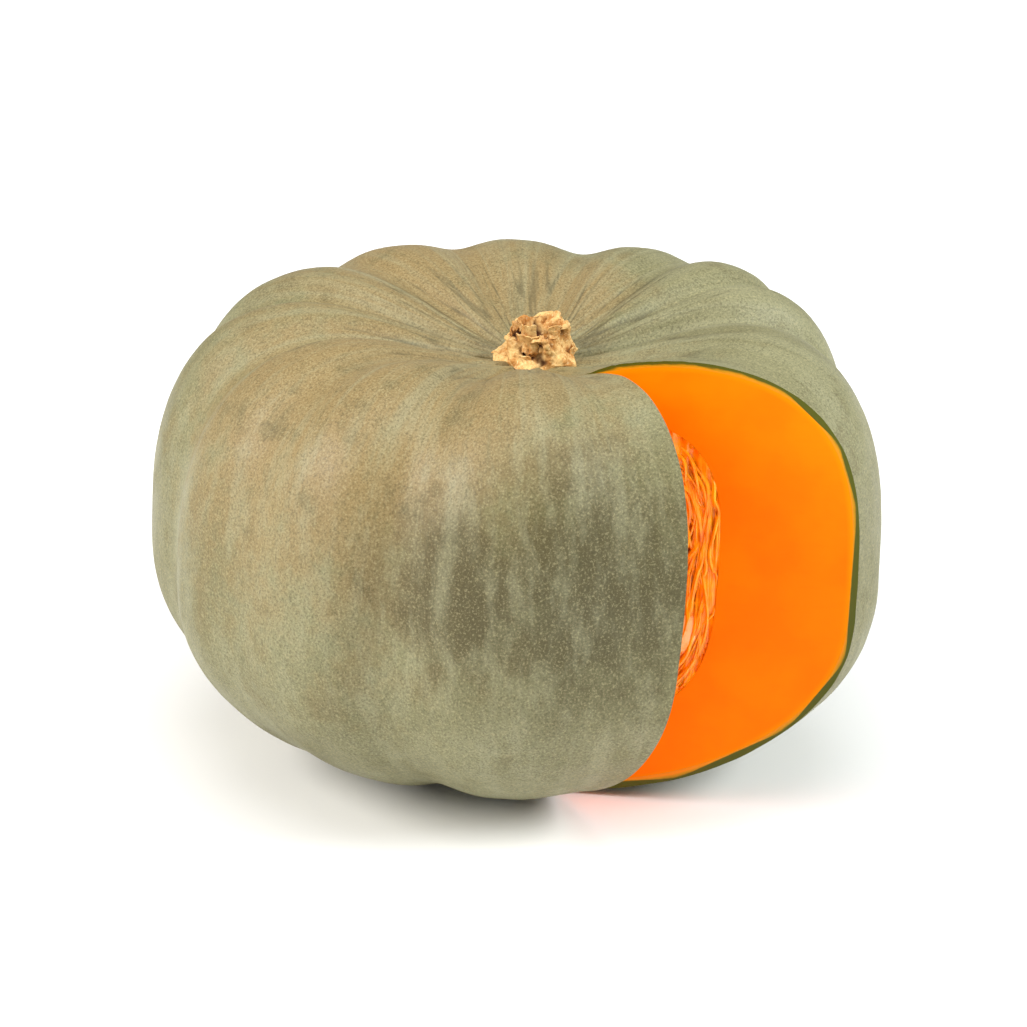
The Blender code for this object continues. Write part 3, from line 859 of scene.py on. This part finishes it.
def stem_point(turn, polar):
    """The stub's plain form: its profile with ribs that twist, and one side that stands higher."""
    step, along = divmod(polar / math.pi * (len(STEM_PROFILE) - 1), 1)
    here = STEM_PROFILE[int(step)]
    there = STEM_PROFILE[min(int(step) + 1, len(STEM_PROFILE) - 1)]
    distance, height = mixed(here[0], there[0], along), mixed(here[1], there[1], along)
    azimuth = 2 * math.pi * turn
    twist = STEM_TWIST * max(0, height) / STEM_CREST
    distance *= 1 + STEM_RIB_DEPTH * math.cos(STEM_RIBS * (azimuth + twist))
    height += STEM_PEAK * math.cos(azimuth - STEM_PEAK_AZIMUTH) * max(0, height) / STEM_CREST
    return Vector((
        STEM_MIDDLE.x + distance * math.sin(azimuth),
        STEM_MIDDLE.y - distance * math.cos(azimuth),
        STEM_FOOT + height,
    ))


cork, tree, shader = new_material("dried_cork")
place = place_node(tree)
pit_shade = attribute_node(tree, "pit_shade")
fleck = noise_node(tree, place, 900, 3, 0.7)
cloud = noise_node(tree, place, 220, 3, 0.6)
colour = mix_node(tree, range_node(tree, cloud, 0.38, 0.66), paint(226, 186, 122), paint(186, 128, 66))
colour = mix_node(tree, range_node(tree, fleck, 0.50, 0.70, 0.0, 0.5), colour, paint(132, 78, 30))
colour = mix_node(tree, range_node(tree, fleck, 0.46, 0.32, 0.0, 0.5), colour, paint(246, 222, 174))
# Painted shade: the deeper a place lies in a fold, tear or hole, the nearer to dark brown it is coloured.
colour = mix_node(tree, range_node(tree, pit_shade, 0.35, 0.9), colour, paint(66, 30, 8))
tree.links.new(colour, shader.inputs["Base Color"])
shader.inputs["Roughness"].default_value = 0.85
shader.inputs["Specular IOR Level"].default_value = 0.2
rough = bump_node(tree, cloud, 0.0006, 0.8)
tree.links.new(bump_node(tree, fleck, 0.0003, 0.9, rough), shader.inputs["Normal"])

stub = globe(stem_point, STEM_COLUMNS, STEM_RINGS)
pit_shade_layer = stub.verts.layers.float.new("pit_shade")
moves = []
for vert in stub.verts:
    offset = vert.co - Vector((STEM_MIDDLE.x, STEM_MIDDLE.y, STEM_FOOT))
    fold = abs(noise.noise(Vector((offset.x * 190, offset.y * 190, offset.z * 110 + 3))))
    tear = abs(noise.noise(offset * 420 + Vector((9, 2, 4))))
    hole = max(0, noise.noise(offset * 150 + Vector((1, 7, 5))))
    above = eased(offset.z, -0.001, 0.003)
    depth_in = above * (0.0024 * (0.5 - fold) * 0.9 + 0.0010 * (0.4 - tear) + 0.0042 * hole**1.3)
    # How much painted shade this place gets, from how deep it lies in a hollow.
    vert[pit_shade_layer] = min(1, max(0, depth_in / 0.0026))
    moves.append(vert.normal * (0.0006 * above - depth_in))
for vert, move in zip(stub.verts, moves):
    vert.co += move
stem = object_from(stub, "stem_stub")
shade(stem, cork)
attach(stem, "root")
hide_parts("stem")

flakes_mesh = bmesh.new()
for index in range(FLAKES):
    azimuth = 2 * math.pi * draw.random()
    level = draw.uniform(0.001, 0.012)
    half_width, half_length = draw.uniform(0.0016, 0.0036), draw.uniform(0.0020, 0.0042)
    outward = Vector((math.sin(azimuth), -math.cos(azimuth), draw.uniform(-0.2, 0.5))).normalized()
    upward = Vector((outward.y, -outward.x, 0)).normalized().cross(outward)
    if upward.z < 0:
        upward.negate()
    across = outward.cross(upward)
    radius = mixed(0.0148, 0.0108, min(1, level / 0.008)) - 0.0012
    middle = Vector((STEM_MIDDLE.x, STEM_MIDDLE.y, STEM_FOOT + level))
    middle += Vector((math.sin(azimuth), -math.cos(azimuth), 0)) * radius
    made = bmesh.ops.create_grid(flakes_mesh, x_segments=8, y_segments=8, size=1)["verts"]
    curl = draw.uniform(0.2, 1.0)
    for vert in made:
        s, t = vert.co.x, vert.co.y
        ragged = 1 + 0.35 * noise.noise(Vector((s * 2, t * 2, index * 3.7)))
        bulge = 0.0006 * noise.noise(Vector((s * 2.5, t * 2.5, index * 1.9)))
        lift = curl * 0.0016 * max(0, t) ** 2 - 0.0009 * s * s + bulge
        vert.co = (
            middle + across * s * half_width * ragged + upward * t * half_length * ragged
            + outward * lift
        )
bmesh.ops.recalc_face_normals(flakes_mesh, faces=flakes_mesh.faces)
flakes = object_from(flakes_mesh, "stem_flakes")
wall = flakes.modifiers.new("Thickness", "SOLIDIFY")
wall.thickness = 0.0005
wall.offset = 0
graph = bpy.context.evaluated_depsgraph_get()
flake_data = bpy.data.meshes.new_from_object(flakes.evaluated_get(graph))
flakes.modifiers.clear()
flakes.data = flake_data
shade(flakes, cork)
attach(flakes, "root")

bpy.data.objects.remove(wedge, do_unlink=True)
